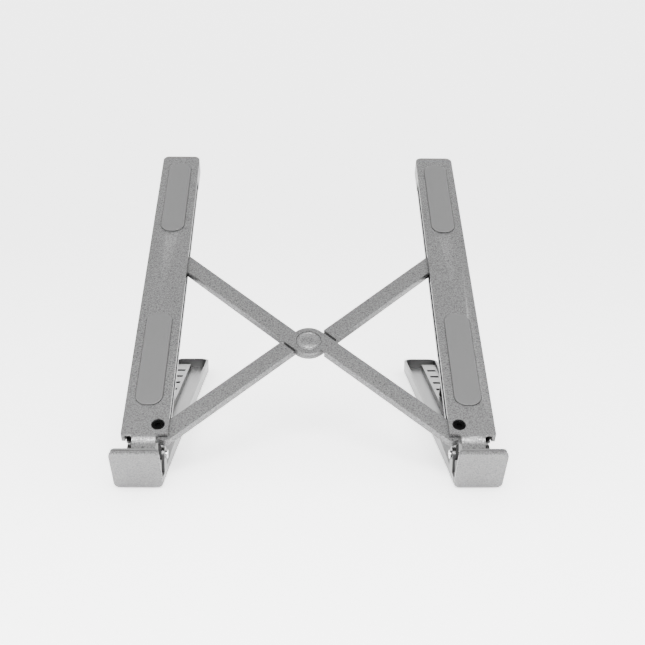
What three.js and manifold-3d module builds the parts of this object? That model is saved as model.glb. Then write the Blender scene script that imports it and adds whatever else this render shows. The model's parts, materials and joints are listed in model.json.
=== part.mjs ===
// Folding X-frame laptop stand: two inclined rails, a scissor of two flat arms between them, and under
// each rail a tray-shaped base leg with a ladder of height slots and a prop strut.
//
// Frame: X across the stand (+X is the right rail), +Y away from the user, +Z up, millimetres.
// Side pieces are drawn for the right-hand side in the rail's own frame and mirrored for the left:
//   x  across the rail, 0 on its centre line, + towards the outside of the stand
//   y  along the rail, 0 at its front shoulder, + towards the rear
//   z  out of the rail, 0 on its top face
import * as THREE from 'three';
import { mergeVertices } from 'three/addons/utils/BufferGeometryUtils.js';
import Module from 'manifold-3d';

const wasm = await Module();
wasm.setup();

// ---------------------------------------------------------------- driving dimensions
const gap = 0.3;                 // between pieces that touch
const slopeDeg = 34;             // rail above the desk
const railSpread = 88;           // stand's centre to a rail's centre line
const railLength = 246;
const railWidth = 25;
const railHeight = 10.5;         // top face to the lower edge of the side walls
const railSkin = 2.0;            // top plate
const railWall = 1.8;
const railCorner = 4;            // rear corners in plan
const innerWallLength = 24;      // side wall behind the arms' opening
const frontHeight = 28;          // rail's front top edge above the desk

const padLength = 71;
const padWidth = 15;
const padThick = 1.2;
const padSink = 0.4;             // how far a pad's lower face lies under the rail's top face
const frontPadStart = 20;
const rearPadStart = 166;

const neckWidth = 12.6;
const neckThick = 2.2;
const neckDrop = 42;             // degrees, the neck's bend below the rail's plane
const hookReach = 20;            // rail shoulder to the middle of the hook plate
const hookThick = 2.4;
const hookWidth = 26;
const hookAbove = 10.2;          // hook plate above the rail's top face
const hookBelow = 19.2;
const hookShift = 2.4;           // middle of the hook plate, outwards from the rail's centre line
const hookPadThick = 1.5;
const hookPadHeight = 14;

const armWidth = 10.35;
const armThick = 4.6;
const armLap = 0.15;             // each bar's inner edge from the line through the centre pivot
const openSlant = 38.622;        // degrees, line through an arm's end pivots from straight across
const armEye = 4.9;              // radius round an end pivot
const bossInset = 0.1;           // boss rim from the bars' outer edges
const capRadius = 7.1;
const rivetRadius = 3.0;
const pivotEdge = 5.7;           // end pivots from the rail's inner edge
const pivotStart = 6.5;          // front end pivot from the rail's shoulder
const screwHole = 3.7;
const screwRadius = 1.9;
const bushWall = 0.6;
const sliderRadius = 1.5;

const hingeAlong = -1.2;         // base hinge in the rail's frame
const hingeDown = 16.1;
const hingePinRadius = 1.6;
const bracketPlate = 1.8;
const lugThick = 1.6;

const strutAlong = 100;          // strut hinge in the rail's frame
const strutDown = 6.5;
const strutWidth = 6.4;
const strutThick = 3.0;
const strutPinRadius = 1.2;

const baseRear = 251;            // rear end of the base from the rail's shoulder, along the desk
const baseFront = -2.5;
const baseFlare = 0.5;           // rear end of the base wider than the rail
const baseWall = 1.6;
const baseRim = 9.2;             // rim above the desk
const footThick = 1.2;
const ladderThick = 3.7;
const ladderInner = 0.6;         // ladder's inner edge from the rail's centre line
const slotPitch = 17.8;
const slotCount = 7;
const slotLength = 5;
const usedSlot = 152;            // slot that the strut's foot stands over, from the rail's shoulder
const slotsInFront = 2;          // slots ahead of the used one

// ---------------------------------------------------------------- worked-out places
const slope = THREE.MathUtils.degToRad(slopeDeg);
const cosS = Math.cos(slope);
const sinS = Math.sin(slope);
const armTop = -(railSkin + 2 * gap);
const armBottom = armTop - armThick;
const armOffset = armLap + armWidth / 2;
const endOffset = armLap + armWidth;
const bossRadius = endOffset - bossInset;
const pivotInset = railWidth / 2 - pivotEdge;
const pivotSpread = railSpread - pivotInset;
const pivotSlant = THREE.MathUtils.degToRad(openSlant);
const armRadius = pivotSpread / Math.cos(pivotSlant);
const armReach = Math.sqrt(armRadius ** 2 - endOffset ** 2);
const scissorAngle = Math.atan2(endOffset, armReach);
const centreAlong = pivotStart + armRadius * Math.sin(pivotSlant);
const rearPinAlong = 2 * centreAlong - pivotStart;
const barAngle = pivotSlant + scissorAngle;
const baseFrontWidth = railWidth - 2 * railWall - 4 * gap;
const baseRearWidth = railWidth + baseFlare;

/** Rail frame (y, z) to the desk frame (y, z), with y still counted from the rail's front shoulder. */
const toDesk = (y, z) => [y * cosS - z * sinS, frontHeight + y * sinS + z * cosS];
const [hingeY, hingeZ] = toDesk(hingeAlong, -hingeDown);
const [strutY, strutZ] = toDesk(strutAlong, -strutDown);
const floorTop = footThick + baseWall;
const ladderTop = floorTop + gap + ladderThick;
const footZ = ladderTop + strutThick / 2 + gap + 0.1;
const strutFall = Math.atan2(strutZ - footZ, usedSlot - strutY);

// ---------------------------------------------------------------- finishes
const finish = (color, roughness, metalness) =>
  new THREE.MeshStandardMaterial({ color, roughness, metalness });
const grained = finish(0x9c9c9c, 0.5, 1.0);
const satin = finish(0xb4b4b4, 0.4, 1.0);
const silicone = finish(0x8e8e8e, 0.75, 0.0);
const rubber = finish(0x3c3c3c, 0.85, 0.0);
const steel = finish(0xc8c8c8, 0.3, 1.0);
const black = finish(0x141414, 0.45, 0.6);
const nylon = finish(0xd8d8d4, 0.6, 0.0);

// ---------------------------------------------------------------- solids
/** A closed three.js geometry as a solid that can be joined and cut. */
function solid(geometry) {
  geometry.deleteAttribute('normal');
  geometry.deleteAttribute('uv');
  const welded = mergeVertices(geometry, 1e-5);
  return new wasm.Manifold(new wasm.Mesh({
    numProp: 3,
    vertProperties: new Float32Array(welded.attributes.position.array),
    triVerts: new Uint32Array(welded.index.array),
  }));
}

/** Back from a solid to a geometry, mirrored across x = 0 for the left-hand side. */
function geometryOf(body, mirrored) {
  const { vertProperties, triVerts } = body.getMesh();
  const points = Float32Array.from(vertProperties);
  const corners = Uint32Array.from(triVerts);
  if (mirrored) {
    for (let i = 0; i < points.length; i += 3) points[i] = -points[i];
    for (let i = 0; i < corners.length; i += 3) {
      [corners[i + 1], corners[i + 2]] = [corners[i + 2], corners[i + 1]];
    }
  }
  const geometry = new THREE.BufferGeometry();
  geometry.setAttribute('position', new THREE.BufferAttribute(points, 3));
  geometry.setIndex(new THREE.BufferAttribute(corners, 1));
  geometry.computeVertexNormals();
  return geometry;
}

const joined = (...bodies) => bodies.reduce((a, b) => a.add(b));
const cut = (body, ...tools) => tools.reduce((a, b) => a.subtract(b), body);

/** A plan outline (x, y) carried from one height to another. */
function slab(shape, z0, z1, steps = 6) {
  const settings = { depth: z1 - z0, bevelEnabled: false, curveSegments: steps };
  const geometry = new THREE.ExtrudeGeometry(shape, settings);
  return solid(geometry.translate(0, 0, z0));
}

const toSide = new THREE.Matrix4().set(0, 0, 1, 0, 1, 0, 0, 0, 0, 1, 0, 0, 0, 0, 0, 1);

/** A side outline (y, z) carried across from x0 to x1. */
function sidePlate(shape, x0, x1, steps = 8) {
  const settings = { depth: x1 - x0, bevelEnabled: false, curveSegments: steps };
  const geometry = new THREE.ExtrudeGeometry(shape, settings);
  return solid(geometry.applyMatrix4(toSide).translate(x0, 0, 0));
}

const polygon = (...points) => new THREE.Shape(points.map(([a, b]) => new THREE.Vector2(a, b)));
const disc = (x, y, radius) => new THREE.Shape().absarc(x, y, radius, 0, 2 * Math.PI, false);
const block = (x0, x1, y0, y1, z0, z1) => slab(polygon([x0, y0], [x1, y0], [x1, y1], [x0, y1]), z0, z1);
const post = (x, y, radius, z0, z1, steps = 12) => slab(disc(x, y, radius), z0, z1, steps);
const crossRod = (y, z, radius, x0, x1) => sidePlate(disc(y, z, radius), x0, x1, 10);

/** A rounded rectangle about (x, y). */
function roundedRect(x, y, width, length, radius) {
  const [x0, x1, y0, y1] = [x - width / 2, x + width / 2, y - length / 2, y + length / 2];
  const shape = new THREE.Shape();
  shape.absarc(x1 - radius, y0 + radius, radius, -Math.PI / 2, 0, false);
  shape.absarc(x1 - radius, y1 - radius, radius, 0, Math.PI / 2, false);
  shape.absarc(x0 + radius, y1 - radius, radius, Math.PI / 2, Math.PI, false);
  shape.absarc(x0 + radius, y0 + radius, radius, Math.PI, 1.5 * Math.PI, false);
  return shape;
}

/** Two discs in side view and the belt round them. */
function link(y0, z0, r0, y1, z1, r1) {
  const run = Math.hypot(y1 - y0, z1 - z0);
  const heading = Math.atan2(z1 - z0, y1 - y0);
  const lean = Math.acos((r0 - r1) / run);
  const shape = new THREE.Shape();
  shape.absarc(y0, z0, r0, heading + lean, heading + 2 * Math.PI - lean, false);
  shape.absarc(y1, z1, r1, heading - lean, heading + lean, false);
  return shape;
}

// ---------------------------------------------------------------- rail and what is fixed to it
/** Plan outline of the rail, its rear corners rounded. */
function railOutline(inset) {
  const half = railWidth / 2 - inset;
  const end = railLength - inset;
  const r = Math.max(railCorner - inset, 0.5);
  const shape = new THREE.Shape();
  shape.moveTo(-half, 0);
  shape.lineTo(half, 0);
  shape.absarc(half - r, end - r, r, 0, Math.PI / 2, false);
  shape.absarc(-half + r, end - r, r, Math.PI / 2, Math.PI, false);
  return shape;
}

/** The neck's side outline: level with the top plate, a smooth bend, then down to the hook plate. */
function neckOutline() {
  const bend = 4;
  const drop = THREE.MathUtils.degToRad(neckDrop);
  const turnY = -1;
  const outer = [[railWall + 2, 0], [turnY, 0]];
  const inner = [[railWall + 2, -neckThick], [turnY, -neckThick]];
  const centreZ = -neckThick - bend;
  const steps = 6;
  for (let i = 1; i <= steps; i++) {
    const a = (drop * i) / steps;
    outer.push([turnY - (bend + neckThick) * Math.sin(a), centreZ + (bend + neckThick) * Math.cos(a)]);
    inner.push([turnY - bend * Math.sin(a), centreZ + bend * Math.cos(a)]);
  }
  for (const side of [outer, inner]) {
    const [y, z] = side[side.length - 1];
    const run = hookReach + y;
    side.push([-hookReach, z - run * Math.tan(drop)]);
  }
  return polygon(...outer, ...inner.reverse());
}

/** The two concave fillets where the neck leaves the rail's front edge. */
function neckFillets() {
  const r = 2;
  const half = neckWidth / 2;
  return [1, -1].map((s) => {
    const shape = new THREE.Shape();
    shape.moveTo(s * (half - 1), 1);
    shape.lineTo(s * (half - 1), -r);
    shape.lineTo(s * half, -r);
    const corner = s > 0 ? [Math.PI, Math.PI / 2, true] : [0, Math.PI / 2, false];
    shape.absarc(s * (half + r), -r, r, ...corner);
    shape.lineTo(s * (half + r), 1);
    return slab(shape, -railSkin, 0);
  });
}

const innerWallStart = railLength - innerWallLength;

function rail() {
  const shell = cut(slab(railOutline(0), -railHeight, 0),
    slab(railOutline(railWall), -railHeight - 1, -railSkin),
    block(-railWidth / 2 + railWall, railWidth / 2 - railWall, -1, railWall + 1, -railHeight - 1, -railSkin));
  const below = -railHeight - 1;
  const sideOpening = block(-railWidth, -railWidth / 2 + railWall + 0.1, -1, innerWallStart, below, -railSkin);
  const wallToe = sidePlate(polygon([-1, -5.5], [7, below], [-1, below]), -railWidth, railWidth);
  const pockets = [frontPadStart, rearPadStart].map((start) => {
    const outline = roundedRect(0, start + padLength / 2, padWidth + 2 * gap, padLength + 2 * gap,
      padWidth / 2 - 0.7);
    return slab(outline, -padSink - gap, 1, 5);
  });
  const access = post(-pivotInset, pivotStart, screwHole, -railSkin - 1, 1, 16);
  const hookMiddle = (hookAbove - hookBelow) / 2;
  const plate = new THREE.ExtrudeGeometry(
    roundedRect(hookShift, hookMiddle, hookWidth, hookAbove + hookBelow, 3.2),
    { depth: hookThick - 0.8, bevelThickness: 0.4, bevelSize: 0.4, bevelOffset: -0.4, bevelSegments: 1,
      curveSegments: 5 });
  plate.translate(0, 0, 0.4).rotateX(Math.PI / 2).translate(0, -hookReach + hookThick / 2, 0);
  const neck = sidePlate(neckOutline(), -neckWidth / 2, neckWidth / 2);
  const channel = cut(shell, sideOpening, wallToe, ...pockets);
  return cut(joined(channel, neck, ...neckFillets(), solid(plate)), access);
}

const railPad = (start) => slab(roundedRect(0, start + padLength / 2, padWidth, padLength, padWidth / 2 - 1),
  -padSink, padThick - padSink, 5);

function hookPad() {
  const back = -hookReach + hookThick / 2 + gap;
  const middle = hookAbove - hookPadHeight / 2 - 0.4;
  const outline = roundedRect(hookShift, middle, hookWidth - 1, hookPadHeight, 2.6);
  const settings = { depth: hookPadThick, bevelEnabled: false, curveSegments: 4 };
  const geometry = new THREE.ExtrudeGeometry(outline, settings);
  const pad = solid(geometry.rotateX(Math.PI / 2).translate(0, back + hookPadThick, 0));
  const neckRoom = sidePlate(neckOutline(), -neckWidth / 2 - gap, neckWidth / 2 + gap);
  return cut(pad, neckRoom, neckRoom.translate([0, 0, 0.4]));
}

const bracketTop = armBottom - 0.4;
const bracketBottom = bracketTop - bracketPlate;
const bracketEnd = 14;
const lugOuter = baseFrontWidth / 2 - baseWall - gap;

/** Plate under the arm's front eye, with two lugs that carry the base hinge pin. */
function hingeBracket() {
  const plate = block(-railWidth / 2 + 0.2, railWidth / 2 - railWall - gap, 1, bracketEnd,
    bracketBottom, bracketTop);
  const lugs = [-lugOuter, lugOuter - lugThick].map((x) => sidePlate(
    link(4.6, bracketBottom + 0.6, 3.4, hingeAlong, -hingeDown, 3.2), x, x + lugThick));
  const room = block(-railWidth, railWidth, -10, 30, bracketTop, 5);
  const below = cut(joined(plate, ...lugs), room);
  return cut(below, crossRod(hingeAlong, -hingeDown, hingePinRadius + gap, -15, 15),
    post(-pivotInset, pivotStart, screwRadius + gap, bracketBottom - 5, bracketTop + 1, 10));
}

const hingePin = () => joined(
  crossRod(hingeAlong, -hingeDown, hingePinRadius, -baseFrontWidth / 2 - 0.5, baseFrontWidth / 2 + 0.5),
  crossRod(hingeAlong, -hingeDown, hingePinRadius + 0.8, -baseFrontWidth / 2 - 1.3,
    -baseFrontWidth / 2 - gap));

/** Socket-head screw under the access hole. */
function pivotScrew() {
  const body = joined(post(-pivotInset, pivotStart, screwHole - gap, -2.2, -0.9, 12),
    post(-pivotInset, pivotStart, screwRadius, bracketBottom, -2.1, 10));
  return cut(body, slab(disc(-pivotInset, pivotStart, 1.9), -1.8, 0, 3));
}

const bushInner = screwRadius + gap;
const bushOuter = bushInner + bushWall;
const pivotBush = () => cut(post(-pivotInset, pivotStart, bushOuter, armBottom, armTop, 12),
  post(-pivotInset, pivotStart, bushInner, armBottom - 1, armTop + 1, 12));

const trackTop = armBottom - 0.8;
const trackSkin = 1.6;
const trackWeb = 4.6;
const sliderBushRadius = sliderRadius + gap + bushWall;
const trackSlot = sliderBushRadius + gap;

/** L-section track along the rail's open side, slotted for the rear end of an arm. */
function slideTrack() {
  const [y0, y1] = [bracketEnd + 0.4, innerWallStart - 0.4];
  const plate = block(-railWidth / 2 + 0.2, -pivotInset + trackSlot + 0.9, y0, y1,
    trackTop - trackSkin, trackTop);
  const flange = block(-railWidth / 2 + 0.2, -railWidth / 2 + 1.6, y0, y1, -railHeight + 0.1, trackTop);
  const [slotStart, slotEnd] = [rearPinAlong - trackSlot - 1, y1 - trackWeb];
  const outline = roundedRect(-pivotInset, (slotStart + slotEnd) / 2, 2 * trackSlot, slotEnd - slotStart,
    trackSlot - 0.05);
  const slot = slab(outline, -railHeight - 1, -1);
  return cut(joined(plate, flange), slot);
}

const tabThick = 1.5;
const strutOuter = railWidth / 2 - railWall - 2 * gap - tabThick;
const strutX = [strutOuter - strutWidth, strutOuter];

/** U-bracket under the top plate that holds the strut's pin. */
function strutBracket() {
  const [x0, x1] = [strutX[0] - gap - tabThick, strutX[1] + gap + tabThick];
  const [y0, y1] = [strutAlong - 5, strutAlong + 5];
  const top = -railSkin - gap;
  const body = cut(block(x0, x1, y0, y1, -strutDown - 2.8, top),
    block(x0 + tabThick, x1 - tabThick, y0 - 1, y1 + 1, -strutDown - 4, top - 1.2));
  return cut(body, crossRod(strutAlong, -strutDown, strutPinRadius + gap, -1, railWidth));
}

const strutPin = () => crossRod(strutAlong, -strutDown, strutPinRadius,
  strutX[0] - gap - tabThick - 0.2, railWidth / 2 - railWall - gap);

// ---------------------------------------------------------------- base leg, in the desk frame
/** Plan outline of the tray: parallel at the hinge, widening to the rear, with round rear corners. */
function baseOutline(inset) {
  const front = baseFrontWidth / 2 - inset;
  const rear = baseRearWidth / 2 - inset;
  const straight = 22;
  const end = baseRear - inset;
  const r = 7 - inset;
  const shape = new THREE.Shape();
  shape.moveTo(-front, baseFront + inset);
  shape.lineTo(front, baseFront + inset);
  shape.lineTo(front, straight);
  shape.absarc(rear - r, end - r, r, 0, Math.PI / 2, false);
  shape.absarc(-rear + r, end - r, r, Math.PI / 2, Math.PI, false);
  shape.lineTo(-front, straight);
  return shape;
}

function base() {
  const hollow = slab(baseOutline(baseWall), floorTop, baseRim + 1);
  const frontEntry = block(-baseFrontWidth / 2 + baseWall, baseFrontWidth / 2 - baseWall, baseFront - 1,
    baseFront + baseWall + 1, floorTop, baseRim + 1);
  const tray = cut(slab(baseOutline(0), footThick, baseRim), hollow, frontEntry);
  const frontTaper = sidePlate(polygon([60, baseRim], [60, baseRim + 2], [baseFront - 1, baseRim + 2],
    [baseFront - 1, 4.5]), -20, 20);
  const ear = (x, reach) => sidePlate(link(9, floorTop + 3, 5, hingeY, hingeZ, reach), x, x + baseWall);
  const half = baseFrontWidth / 2;
  const ears = joined(ear(-half, 4.2), ear(half - baseWall, 6));
  return cut(joined(cut(tray, frontTaper), ears), crossRod(hingeY, hingeZ, hingePinRadius + gap, -15, 15));
}

/** Raised strip on the outer half of the tray, with a slot for each height. */
function ladder() {
  const outerRoom = slab(baseOutline(baseWall + 0.4), 0, 20);
  const front = usedSlot - (slotsInFront + 0.7) * slotPitch;
  const strip = block(ladderInner, baseRearWidth, front, baseRear - 9, floorTop + gap, ladderTop)
    .intersect(outerRoom);
  const first = usedSlot - slotsInFront * slotPitch;
  const slots = Array.from({ length: slotCount }, (_, i) => {
    const y = first + i * slotPitch;
    return block(strutX[0] + 0.4, strutX[1] + 0.4, y - slotLength / 2, y + slotLength / 2, 0, 20);
  });
  return cut(strip, ...slots);
}

const foot = (y, length, width) =>
  slab(roundedRect(0, y, width, length, width / 2 - 1), 0, footThick - gap, 4);

/** The prop strut, hanging from its pin down to the used slot. */
function strut() {
  const [fy, fz] = [usedSlot, footZ];
  const outline = link(strutY, strutZ, 2.2, strutY + 6 * Math.cos(strutFall),
    strutZ - 6 * Math.sin(strutFall), strutThick / 2);
  const eye = sidePlate(outline, ...strutX);
  const bar = sidePlate(link(strutY, strutZ, strutThick / 2 + 0.001, fy, fz, strutThick / 2), ...strutX);
  return cut(joined(eye, bar), crossRod(strutY, strutZ, strutPinRadius + gap, -1, railWidth));
}

// ---------------------------------------------------------------- scissor, in the rail's plane
/** One bar of an arm: x along the bar from the centre pivot, ending in an eye on its outer edge. */
function bar(z0, z1, from) {
  const endX = armReach;
  const shape = new THREE.Shape();
  shape.moveTo(from, armLap);
  shape.lineTo(endX, armLap);
  shape.absarc(endX, armOffset, armWidth / 2, -Math.PI / 2, 0, false);
  shape.absarc(endX, endOffset, armEye, 0, Math.PI, false);
  shape.lineTo(endX - armEye - 5, endOffset);
  shape.lineTo(from, endOffset);
  return slab(shape, z0, z1, 8);
}

/** An arm is two parallel bars on opposite sides of the centre boss, half as thick where they lap. */
function arm(onTop, sliderHole) {
  const middle = (armTop + armBottom) / 2;
  const [bossLow, bossHigh] = onTop ? [middle + gap / 2, armTop] : [armBottom, middle - gap / 2];
  const half = (from, low, high) => {
    const front = bar(low, high, from);
    return joined(front, front.rotate([0, 0, 180]));
  };
  const shoulder = bossRadius + 2;
  let body = joined(half(0, bossLow, bossHigh), post(0, 0, bossRadius, bossLow, bossHigh, 24),
    half(shoulder, armBottom, armTop));
  body = cut(body, post(0, 0, rivetRadius + gap, armBottom - 1, armTop + 1, 12));
  if (onTop) body = cut(body, post(0, 0, capRadius + gap, armTop - 1, armTop + 1, 20));
  return cut(body, post(armReach, endOffset, bushOuter + gap, armBottom - 1, armTop + 1, 12),
    post(-armReach, -endOffset, sliderHole, armBottom - 1, armTop + 1, 10));
}

const centreRivet = () => joined(post(0, 0, capRadius, armTop - 0.7, armTop + 0.1, 20),
  post(0, 0, rivetRadius, armBottom - 1.2, armTop - 0.6, 12));
const centreWasher = () => cut(post(0, 0, 6, armBottom - 1.1, armBottom - gap, 14),
  post(0, 0, rivetRadius + gap, armBottom - 2, armBottom + 1, 12));
const sliderPin = () => joined(post(0, 0, sliderRadius, trackTop - trackSkin - 1, armTop - 0.1, 8),
  post(0, 0, trackSlot + 0.6, trackTop - trackSkin - 1.4, trackTop - trackSkin - 0.4, 10));
const sliderBush = () => cut(post(0, 0, sliderBushRadius, trackTop - trackSkin, armBottom - gap, 10),
  post(0, 0, sliderRadius + gap, -railHeight - 2, 0, 10));

// ---------------------------------------------------------------- assembly
const stand = new THREE.Group();
const railPlane = new THREE.Group();     // the plane that both rails and the scissor lie in
railPlane.rotation.x = slope;
railPlane.position.z = frontHeight;
stand.add(railPlane);

function place(parent, name, body, material, x = 0, y = 0, mirrored = false) {
  const mesh = new THREE.Mesh(geometryOf(body, mirrored), material);
  mesh.name = name;
  mesh.position.set(x, y, 0);
  parent.add(mesh);
  return mesh;
}

for (const [side, sign] of [['left', -1], ['right', 1]]) {
  const onRail = (name, body, material) => place(railPlane, `${side}_${name}`, body, material,
    sign * railSpread, 0, sign < 0);
  const onDesk = (name, body, material) => place(stand, `${side}_${name}`, body, material,
    sign * railSpread, 0, sign < 0);
  onRail('rail', rail(), grained);
  onRail('hook_pad', hookPad(), silicone);
  onRail('front_pad', railPad(frontPadStart), silicone);
  onRail('rear_pad', railPad(rearPadStart), silicone);
  onRail('hinge_bracket', hingeBracket(), satin);
  onRail('hinge_pin', hingePin(), steel);
  onRail('pivot_screw', pivotScrew(), black);
  onRail('pivot_bush', pivotBush(), nylon);
  onRail('slide_track', slideTrack(), satin);
  onRail('strut_bracket', strutBracket(), satin);
  onRail('strut_pin', strutPin(), steel);
  onDesk('strut', strut(), satin);
  onDesk('base', base(), satin);
  onDesk('ladder', ladder(), satin);
  onDesk('front_foot', foot(38, 34, 12), rubber);
  onDesk('rear_foot', foot(baseRear - 30, 34, 16), rubber);
  const slider = (name, body, material) => place(railPlane, `${side}_${name}`, body, material,
    sign * pivotSpread, rearPinAlong);
  slider('slider_pin', sliderPin(), steel);
  slider('slider_bush', sliderBush(), nylon);
}

const armA = place(railPlane, 'arm_a', arm(true, sliderRadius + gap), grained, 0, centreAlong);
armA.rotation.z = -barAngle;
const armB = place(railPlane, 'arm_b', arm(false, sliderRadius + gap), grained, 0, centreAlong, true);
armB.rotation.z = barAngle;
place(railPlane, 'centre_rivet', centreRivet(), steel, 0, centreAlong);
place(railPlane, 'centre_washer', centreWasher(), steel, 0, centreAlong);

// The origin is under the middle of the stand, on the desk.
stand.updateMatrixWorld(true);
const reach = new THREE.Box3().setFromObject(stand, true);
stand.position.set(0, -(reach.min.y + reach.max.y) / 2, 0);

export default stand;
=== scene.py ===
# %% [markdown]
# # A folding laptop stand, finished around its CAD frame
# The CAD model gives every sub-part its true size and place. Here each part gets the look of the real thing:
# sandblasted aluminium rails, smooth satin base legs, soft silicone pads and black socket screws.
# The first cell loads that frame, with a helper that measures the box of a part. The looks may never outgrow
# it.

import json
from math import atan2, degrees, radians

import bmesh
import bpy
import numpy as np
from mathutils import Matrix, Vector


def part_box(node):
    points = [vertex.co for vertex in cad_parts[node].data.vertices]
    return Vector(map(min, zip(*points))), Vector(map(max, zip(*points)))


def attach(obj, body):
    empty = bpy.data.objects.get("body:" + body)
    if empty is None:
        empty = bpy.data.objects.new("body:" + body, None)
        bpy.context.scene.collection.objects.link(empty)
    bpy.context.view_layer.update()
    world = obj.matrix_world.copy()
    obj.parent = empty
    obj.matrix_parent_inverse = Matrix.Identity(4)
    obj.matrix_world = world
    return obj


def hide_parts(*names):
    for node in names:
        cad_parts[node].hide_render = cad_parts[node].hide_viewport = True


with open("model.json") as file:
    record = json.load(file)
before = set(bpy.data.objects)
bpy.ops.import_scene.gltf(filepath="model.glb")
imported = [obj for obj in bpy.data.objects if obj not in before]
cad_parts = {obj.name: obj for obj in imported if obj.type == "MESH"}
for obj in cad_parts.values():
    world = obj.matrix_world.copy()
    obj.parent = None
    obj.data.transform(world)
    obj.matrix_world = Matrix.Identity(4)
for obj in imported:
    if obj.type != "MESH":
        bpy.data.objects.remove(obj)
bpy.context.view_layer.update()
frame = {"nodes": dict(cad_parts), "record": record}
scene = bpy.context.scene
bodies = frame["record"]["behaviour"]["bodies"]
body_of = {node: body for body, nodes in bodies.items() for node in nodes}
slope_axis = next(np.array(j["axis"]) for j in frame["record"]["behaviour"]["joints"] if j["name"] == "width")

# %% [markdown]
# The two rails and the cross between them lie in one sloping plane. Its normal is the axis of the scissor's
# joints, so the frame itself tells us the slope, and the three directions below are all that a piece needs
# to lie on a rail: across it, along it, and out of it.

# %% Directions of the sloping plane
out_of_rail = slope_axis / np.linalg.norm(slope_axis)
across_rail = np.array((1.0, 0.0, 0.0))
along_rail = np.cross(out_of_rail, across_rail)
print("slope", round(degrees(atan2(along_rail[2], along_rail[1])), 2), "degrees")

# %% [markdown]
# ## Camera, light and backdrop
# A product picture wants soft light from large panels and a sweep: a floor that curves up into a wall, so no
# horizon line shows. The sweep is a profile carried sideways, worked out as one array. Its paper glows a
# little, as on a light table, which keeps it pale. The sky is bright at the sides and dimmer straight
# overhead, so the upward faces of the metal stay darker than the paper.

# %% Camera
LENS = 57.8
EYE = (-0.0050, -0.6448, 0.1967)
LOOK_DOWN = 11.48
LOOK_RIGHT = 1.26
TILT = 0.47
camera_data = bpy.data.cameras.new("camera")
camera_data.lens = LENS
camera_data.sensor_width = 36
camera = bpy.data.objects.new("camera", camera_data)
camera.location = EYE
heading = Matrix.Rotation(-radians(LOOK_RIGHT), 4, "Z")
pitch = Matrix.Rotation(radians(90 - LOOK_DOWN), 4, "X")
camera.rotation_euler = (heading @ pitch @ Matrix.Rotation(radians(TILT), 4, "Z")).to_euler()
scene.collection.objects.link(camera)
scene.camera = camera
print("camera at", EYE)


# %% Mesh helpers
def make_object(name, points, faces):
    """A mesh object at the origin from an array of points and a list of faces."""
    mesh = bpy.data.meshes.new(name)
    mesh.from_pydata(points.reshape(-1, 3).tolist(), [], [list(map(int, face)) for face in faces])
    mesh.polygons.foreach_set("use_smooth", np.full(len(mesh.polygons), True))
    mesh.update()
    piece = bpy.data.objects.new(name, mesh)
    scene.collection.objects.link(piece)
    return piece


def ring_faces(rings, around):
    """Quads between neighbouring rings: corner (i, j) joins (i, j+1), (i+1, j+1) and (i+1, j)."""
    i, j = np.meshgrid(np.arange(rings - 1), np.arange(around), indexing="ij")
    k = (j + 1) % around
    quads = np.stack([i * around + j, i * around + k, (i + 1) * around + k, (i + 1) * around + j], axis=-1)
    return list(quads.reshape(-1, 4))


# %% Backdrop
def sweep(width, front, back, height, radius):
    """Floor, quarter circle, wall: y and z along the profile, x the same all along it."""
    turn = np.linspace(0, np.pi / 2, 24)
    y = np.concatenate([[front], back - radius + radius * np.sin(turn), [back]])
    z = np.concatenate([[0.0], radius - radius * np.cos(turn), [height]])
    x = np.array([width / 2, -width / 2])
    points = np.stack(np.broadcast_arrays(x[None, :], y[:, None], z[:, None]), axis=-1)
    rows = np.arange(len(y) - 1)
    faces = np.stack([2 * rows, 2 * rows + 2, 2 * rows + 3, 2 * rows + 1], axis=-1)
    return make_object("backdrop", points, faces)


backdrop = sweep(width=9.0, front=-3.0, back=3.6, height=4.0, radius=1.6)
paper = bpy.data.materials.new("paper")
paper.use_nodes = True
sheet = paper.node_tree.nodes["Principled BSDF"].inputs
sheet["Base Color"].default_value = (0.93, 0.93, 0.93, 1)
sheet["Roughness"].default_value = 0.9
sheet["Specular IOR Level"].default_value = 0.1
sheet["Emission Color"].default_value = (1, 1, 1, 1)
sheet["Emission Strength"].default_value = 1.2
backdrop.data.materials.append(paper)


# %% Lights
def panel(name, place, turn, size, power):
    """A square soft light at a place, turned by angles in degrees."""
    data = bpy.data.lights.new(name, "AREA")
    data.shape = "SQUARE"
    data.size = size
    data.energy = power
    light = bpy.data.objects.new(name, data)
    light.location = place
    light.rotation_euler = tuple(map(radians, turn))
    scene.collection.objects.link(light)


SIDE_SKY = 3.2
ZENITH_SKY = 1.0
DIM_FROM = 0.80
DIM_TO = 0.98
panel("top_panel", place=(0, -0.62, 0.62), turn=(48, 0, 0), size=0.5, power=16)
panel("left_panel", place=(-1.3, -0.8, 0.9), turn=(65, 0, -58), size=1.2, power=10)
panel("right_panel", place=(1.4, -0.6, 0.8), turn=(65, 0, 62), size=1.2, power=8)
world = bpy.data.worlds.new("studio")
world.use_nodes = True
world.node_tree.nodes["Background"].inputs["Color"].default_value = (1, 1, 1, 1)
sky = world.node_tree.nodes
sky_links = world.node_tree.links
facing = sky.new("ShaderNodeTexCoord")
parts = sky.new("ShaderNodeSeparateXYZ")
sky_links.new(facing.outputs["Generated"], parts.inputs[0])
dim = sky.new("ShaderNodeMapRange")
dim.inputs["From Min"].default_value = DIM_FROM
dim.inputs["From Max"].default_value = DIM_TO
dim.inputs["To Min"].default_value = SIDE_SKY
dim.inputs["To Max"].default_value = ZENITH_SKY
sky_links.new(parts.outputs["Z"], dim.inputs["Value"])
sky_links.new(dim.outputs[0], sky["Background"].inputs["Strength"])
scene.world = world

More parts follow.
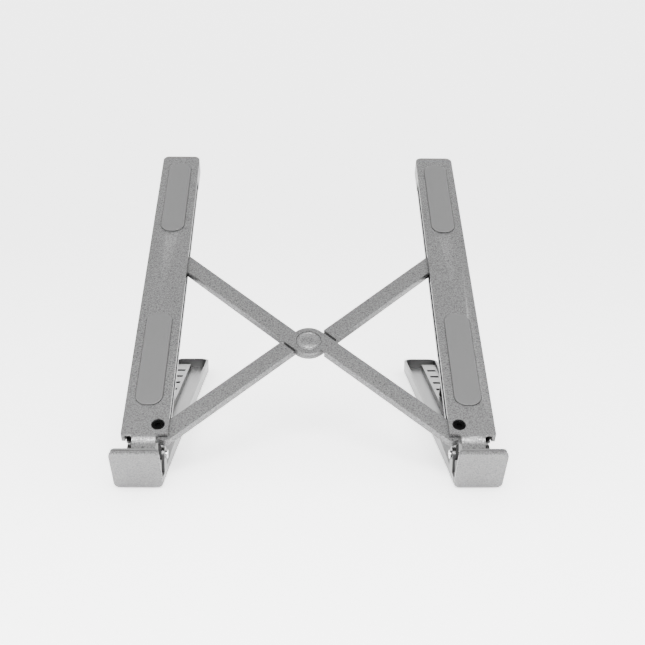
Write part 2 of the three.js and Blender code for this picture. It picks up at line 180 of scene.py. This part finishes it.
# %% [markdown]
# ## Finishes
# Sandblasted and anodised aluminium is not one grey. Each blasted pit catches the light differently, so the
# surface reads as dark and light grains up to about a millimetre across, on top of a slow cloudiness.
# The effect is one node group, Blasted Grain, which gives a colour factor, a roughness factor and a height.
# Every material uses it, each with its own grain size.


# %% The grain group
FINE_FACTOR = 2.7
CLOUD_SCALE = 35
COARSE_SHARE = 0.65
SHADE_SWING = 2.0


def grain_group():
    """Three noises on object coordinates, in metres: grain, fine grain at 2.7 times the scale, and cloud."""
    group = bpy.data.node_groups.new("Blasted Grain", "ShaderNodeTree")
    face = group.interface
    for name in ("Grain Scale", "Contrast", "Cloud"):
        face.new_socket(name, in_out="INPUT", socket_type="NodeSocketFloat")
    for name in ("Shade", "Rough", "Height"):
        face.new_socket(name, in_out="OUTPUT", socket_type="NodeSocketFloat")
    nodes = group.nodes
    links = group.links
    inside = nodes.new("NodeGroupInput")
    outside = nodes.new("NodeGroupOutput")
    place = nodes.new("ShaderNodeTexCoord")

    def noise(detail):
        node = nodes.new("ShaderNodeTexNoise")
        node.inputs["Detail"].default_value = detail
        links.new(place.outputs["Object"], node.inputs["Vector"])
        return node

    def math(operation, a, b):
        node = nodes.new("ShaderNodeMath")
        node.operation = operation
        for socket, value in zip(node.inputs, (a, b)):
            if isinstance(value, (int, float)):
                socket.default_value = value
            else:
                links.new(value, socket)
        return node.outputs[0]

    coarse = noise(2)
    links.new(inside.outputs["Grain Scale"], coarse.inputs["Scale"])
    fine = noise(1)
    links.new(math("MULTIPLY", inside.outputs["Grain Scale"], FINE_FACTOR), fine.inputs["Scale"])
    cloud = noise(3)
    cloud.inputs["Scale"].default_value = CLOUD_SCALE
    coarse_part = math("MULTIPLY", coarse.outputs["Fac"], COARSE_SHARE)
    fine_part = math("MULTIPLY", fine.outputs["Fac"], 1 - COARSE_SHARE)
    both = math("ADD", coarse_part, fine_part)
    grain = math("SUBTRACT", both, 0.5)
    drift = math("MULTIPLY", math("SUBTRACT", cloud.outputs["Fac"], 0.5), inside.outputs["Cloud"])
    swing = math("ADD", math("MULTIPLY", grain, inside.outputs["Contrast"]), drift)
    links.new(math("ADD", 1.0, math("MULTIPLY", swing, SHADE_SWING)), outside.inputs["Shade"])
    links.new(math("SUBTRACT", 1.0, swing), outside.inputs["Rough"])
    links.new(both, outside.inputs["Height"])
    return group


GRAIN = grain_group()


def finish(name, color, roughness, metallic, scale, contrast, cloud, bump):
    """A material: the colour times the grain's shade, the roughness times its factor, the height as bump."""
    material = bpy.data.materials.new(name)
    material.use_nodes = True
    nodes = material.node_tree.nodes
    links = material.node_tree.links
    shader = nodes["Principled BSDF"]
    grain = nodes.new("ShaderNodeGroup")
    grain.node_tree = GRAIN
    grain.inputs["Grain Scale"].default_value = scale
    grain.inputs["Contrast"].default_value = contrast
    grain.inputs["Cloud"].default_value = cloud
    tint = nodes.new("ShaderNodeVectorMath")
    tint.operation = "SCALE"
    tint.inputs[0].default_value = color
    links.new(grain.outputs["Shade"], tint.inputs["Scale"])
    links.new(tint.outputs[0], shader.inputs["Base Color"])
    rough = nodes.new("ShaderNodeMath")
    rough.operation = "MULTIPLY"
    rough.inputs[0].default_value = roughness
    links.new(grain.outputs["Rough"], rough.inputs[1])
    links.new(rough.outputs[0], shader.inputs["Roughness"])
    shader.inputs["Metallic"].default_value = metallic
    relief = nodes.new("ShaderNodeBump")
    relief.inputs["Strength"].default_value = 0.6
    relief.inputs["Distance"].default_value = bump
    links.new(grain.outputs["Height"], relief.inputs["Height"])
    links.new(relief.outputs["Normal"], shader.inputs["Normal"])
    return material


def grey(value):
    """The same value in red, green and blue."""
    return (value, value, value)


# Name, colour, roughness, metallic, grains per metre, contrast, cloud, and bump in metres.
FINISHES = {
    "grained_aluminium": finish("blasted aluminium", grey(0.135), 0.42, 0.9, 1250, 2.1, 0.1, 0.00012),
    "satin_aluminium": finish("satin aluminium", grey(0.11), 0.36, 1.0, 2600, 0.12, 0.12, 0.00002),
    "silicone": finish("grey silicone", grey(0.044), 0.55, 0.0, 2400, 0.06, 0.05, 0.00002),
    "rubber": finish("dark rubber", grey(0.05), 0.8, 0.0, 1800, 0.3, 0.1, 0.00005),
    "steel": finish("turned steel", grey(0.62), 0.25, 1.0, 1200, 0.08, 0.05, 0.00001),
    "black_steel": finish("black oxide", grey(0.003), 0.5, 1.0, 2000, 0.3, 0.1, 0.00002),
    "nylon": finish("natural nylon", (0.7, 0.7, 0.68), 0.6, 0.0, 1500, 0.05, 0.05, 0.00001),
}
HOOK_FACE = finish("brushed hook face", grey(0.15), 0.42, 0.9, 1300, 0.9, 0.1, 0.00004)
slot_of = {entry["node"]: entry["material_slot"] for entry in frame["record"]["subparts"]}
print("finishes", sorted(FINISHES))

# %% [markdown]
# ## Metal parts with worked edges
# A CAD solid has perfectly sharp edges, which never catch light. On the real stand every edge is broken, and
# the bright lines round the plate, the bars and the hook are those small bevels. The CAD triangles are
# copied, merged and cleaned to plain faces, and a Bevel modifier rounds each edge by a fraction of a
# millimetre. The hook plates' front faces are smoother than the rails, so a rail's large faces that look
# forwards along it take a finish with less grain.


# %% Refined copies of the CAD solids
MERGE_DISTANCE = 2e-6
FLAT_ANGLE = 0.5
SHARP_ANGLE = 32
SQUARE_ON = 0.97
HOOK_AREA = 3e-4


def refined(node, width, segments=2):
    """The node's own surface with its corners merged, its flat faces whole and its edges bevelled."""
    mesh = frame["nodes"][node].data.copy()
    mesh.materials.clear()
    work = bmesh.new()
    work.from_mesh(mesh)
    bmesh.ops.remove_doubles(work, verts=work.verts, dist=MERGE_DISTANCE)
    bmesh.ops.dissolve_limit(work, angle_limit=radians(FLAT_ANGLE), verts=work.verts, edges=work.edges)
    for face in work.faces:
        face.smooth = True
        square_on = np.dot(face.normal, along_rail) < -SQUARE_ON
        face.material_index = int(node.endswith("_rail") and square_on and face.calc_area() > HOOK_AREA)
    work.to_mesh(mesh)
    work.free()
    mesh.set_sharp_from_angle(angle=radians(SHARP_ANGLE))
    piece = bpy.data.objects.new(node + "_finished", mesh)
    scene.collection.objects.link(piece)
    edge = piece.modifiers.new("broken edge", "BEVEL")
    edge.width = width
    edge.segments = segments
    edge.limit_method = "ANGLE"
    edge.angle_limit = radians(SHARP_ANGLE)
    edge.harden_normals = True
    piece.data.materials.append(FINISHES[slot_of[node]])
    if node.endswith("_rail"):
        piece.data.materials.append(HOOK_FACE)
    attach(piece, body_of[node])
    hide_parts(node)


EDGES = {"rail": 0.0005, "base": 0.0004, "ladder": 0.0003, "strut": 0.0004, "hinge_bracket": 0.0002,
         "slide_track": 0.0003, "strut_bracket": 0.0002, "pivot_screw": 0.0002, "hinge_pin": 0.0003,
         "strut_pin": 0.0002, "slider_pin": 0.0002}
for side in ("left", "right"):
    for part, width in EDGES.items():
        refined(f"{side}_{part}", width)
CROSS_EDGES = {"arm_a": 0.00045, "arm_b": 0.00045, "centre_washer": 0.0002}
for part, width in CROSS_EDGES.items():
    refined(part, width)
print("refined", 2 * len(EDGES) + len(CROSS_EDGES), "metal parts")

# %% [markdown]
# ## Pads and feet
# A silicone pad is cut or moulded with a soft rounded rim, and it bulges very slightly. Its outline is a
# rectangle with round corners. The same outline, drawn in and raised along a quarter circle, makes the rim,
# and two more rings carry it in to the crown. Every ring is one row of a single array.


# %% Soft pads
def outline(width, length, radius, around=96):
    """A rounded rectangle: a circle's point pushed out by the straight half-sides, by the sign of each."""
    t = (np.arange(around) + 0.5) / around * 2 * np.pi
    x = radius * np.cos(t) + np.sign(np.cos(t)) * (width / 2 - radius)
    y = radius * np.sin(t) + np.sign(np.sin(t)) * (length / 2 - radius)
    return np.stack([x, y], axis=-1)


SMALLEST_CORNER = 0.0004
FIRST_SHOULDER = 0.12
LAST_SHOULDER = 0.3
SHOULDER_DIP = 0.3


def soft_pad(name, node, along, out, radius, rim, crown):
    """Rings inset by rim * (1 - cos a) and raised by rim * sin a, then two rings in to a crown."""
    low, high = map(np.array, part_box(node))
    middle = (low + high) / 2
    size = high - low
    mix = np.abs(np.array([[along[1], out[1]], [along[2], out[2]]]))
    length, thick = np.linalg.solve(mix, size[1:])
    width = size[0]
    a = np.linspace(0, np.pi / 2, 7)
    shoulders = [rim + FIRST_SHOULDER * width, rim + LAST_SHOULDER * width]
    tops = [thick - crown * SHOULDER_DIP, thick]
    inset = np.concatenate([[rim, 0.0], rim * (1 - np.cos(a)), shoulders])
    rise = np.concatenate([[0.0, 0.0], thick - rim - crown + rim * np.sin(a), tops])
    rise = rise - thick / 2
    rings = [outline(width - 2 * d, length - 2 * d, max(radius - d, SMALLEST_CORNER)) for d in inset]
    flat = np.stack(rings)
    points = (middle + flat[..., :1] * across_rail + flat[..., 1:] * along + rise[:, None, None] * out)
    around = flat.shape[1]
    last = (len(rings) - 1) * around
    faces = ring_faces(len(rings), around)
    faces.append(np.arange(around)[::-1])
    faces.append(last + np.arange(around))
    piece = make_object(name, points, faces)
    piece.data.materials.append(FINISHES[slot_of[node]])
    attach(piece, body_of[node])
    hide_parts(node)
    print(name, "is", np.round(1000 * np.array((width, length, thick)), 1), "mm")


UP = np.array((0.0, 0.0, 1.0))
REARWARD = np.array((0.0, 1.0, 0.0))
for side in ("left", "right"):
    for end in ("front", "rear"):
        soft_pad(f"{side}_{end}_silicone", f"{side}_{end}_pad", along_rail, out_of_rail,
                 radius=0.0065, rim=0.0004, crown=0.0001)
    soft_pad(f"{side}_front_sole", f"{side}_front_foot", REARWARD, -UP, radius=0.005, rim=0.0002, crown=0.0)
    soft_pad(f"{side}_rear_sole", f"{side}_rear_foot", REARWARD, -UP, radius=0.007, rim=0.0002, crown=0.0)
    refined(f"{side}_hook_pad", 0.0004, segments=3)

# %% [markdown]
# ## The centre rivet
# The cap in the middle of the cross is turned: a flat face, a fine groove near its rim and a rounded edge.
# A turned part is a profile carried round its axis, so one row of radii and heights makes the whole piece.


# %% Rivet turned from its profile
TURNED_SHARP = 40
TOP_FACE_DEPTH = 1e-5
CAP_RADIUS = 0.0071
SHAFT_RADIUS = 0.003
CAP_THICK = 0.0008
GROOVE_DEPTH = 0.00015


def turned(name, node, centre, profile, around=64):
    """Each profile point (radius, height) becomes a circle about the rail plane's normal."""
    t = np.arange(around) / around * 2 * np.pi
    circle = np.cos(t)[:, None] * across_rail + np.sin(t)[:, None] * along_rail
    radius, height = np.array(profile).T
    points = centre + radius[:, None, None] * circle + height[:, None, None] * out_of_rail
    last = (len(profile) - 1) * around
    faces = ring_faces(len(profile), around)
    faces.append(np.arange(around)[::-1])
    faces.append(last + np.arange(around))
    piece = make_object(name, points, faces)
    piece.data.set_sharp_from_angle(angle=radians(TURNED_SHARP))
    piece.data.materials.append(FINISHES[slot_of[node]])
    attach(piece, body_of[node])
    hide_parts(node)


vertices = frame["nodes"]["centre_rivet"].data.vertices
flat = np.empty(3 * len(vertices))
vertices.foreach_get("co", flat)
points = flat.reshape(-1, 3)
heights = points @ out_of_rail
top_face = points[heights > heights.max() - TOP_FACE_DEPTH]
rivet_centre = (top_face.max(axis=0) + top_face.min(axis=0)) / 2
depth = heights.max() - heights.min()
shaft = [(SHAFT_RADIUS, -depth), (SHAFT_RADIUS, -CAP_THICK), (CAP_RADIUS, -CAP_THICK)]
edge = [(CAP_RADIUS, -0.00025), (CAP_RADIUS - 0.0001, -0.0001), (CAP_RADIUS - 0.00035, 0.0)]
groove = [(CAP_RADIUS - 0.0010, 0.0), (CAP_RADIUS - 0.0012, -GROOVE_DEPTH), (CAP_RADIUS - 0.0014, 0.0)]
middle = [(0.0004, 0.0)]
profile = shaft + edge + groove + middle
turned("centre_rivet_turned", "centre_rivet", rivet_centre, profile)

# %% [markdown]
# The remaining CAD nodes are small bushes inside the joints. Their shape is right as it is, so they only take
# their finish.

# %% Finishes on the bushes
for node, piece in frame["nodes"].items():
    piece.data.materials.clear()
    piece.data.materials.append(FINISHES[slot_of[node]])
